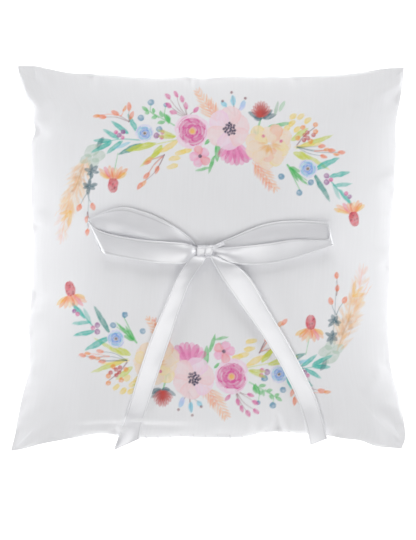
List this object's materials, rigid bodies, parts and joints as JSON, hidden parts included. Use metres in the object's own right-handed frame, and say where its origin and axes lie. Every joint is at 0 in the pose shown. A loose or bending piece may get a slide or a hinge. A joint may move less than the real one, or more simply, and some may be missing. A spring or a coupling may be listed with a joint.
{
  "type": "ring bearer pillow",
  "caption": "Square stuffed satin cushion with a flower wreath print and a narrow ribbon bow tacked at its centre to tie the rings on.",
  "frame": {"origin": "on the resting plane, under the centre of the cushion's outline", "axes": "+Z out of the printed front, +Y towards the top of the print, +X to the right of the print"},
  "size_m": [0.1972, 0.1942, 0.0678],
  "materials": {
    "printed_satin": "satin",
    "plain_satin": "satin",
    "fibre_fill": "matte",
    "thread": "matte",
    "ribbon_satin": "satin"
  },
  "bodies": {
    "cushion": {"front_panel": "printed_satin", "back_panel": "plain_satin", "filling": "fibre_fill", "perimeter_seam_thread": "thread", "closing_stitches": "thread", "centre_tack_thread": "thread", "ribbon_base": "ribbon_satin", "bow_knot": "ribbon_satin"},
    "left_loop": {"left_bow_loop": "ribbon_satin"},
    "right_loop": {"right_bow_loop": "ribbon_satin"},
    "left_tail": {"left_ribbon_tail": "ribbon_satin"},
    "right_tail": {"right_ribbon_tail": "ribbon_satin"}
  },
  "joints": [
    {"name": "left_loop_lift", "type": "hinge", "parent": "cushion", "child": "left_loop", "pos_m": [-0.0066, 0.0035, 0.0611], "axis": [0, 1, 0], "range_deg": [0, 60]},
    {"name": "right_loop_lift", "type": "hinge", "parent": "cushion", "child": "right_loop", "pos_m": [0.0046, 0.0035, 0.0611], "axis": [0, -1, 0], "range_deg": [0, 60]},
    {"name": "left_tail_lift", "type": "hinge", "parent": "cushion", "child": "left_tail", "pos_m": [-0.01013, -0.00971, 0.0606], "axis": [-0.8263, 0.5633, 0], "range_deg": [0, 70]},
    {"name": "right_tail_lift", "type": "hinge", "parent": "cushion", "child": "right_tail", "pos_m": [0.01119, -0.00767, 0.0606], "axis": [-0.5812, -0.8137, 0], "range_deg": [0, 70]}
  ]
}
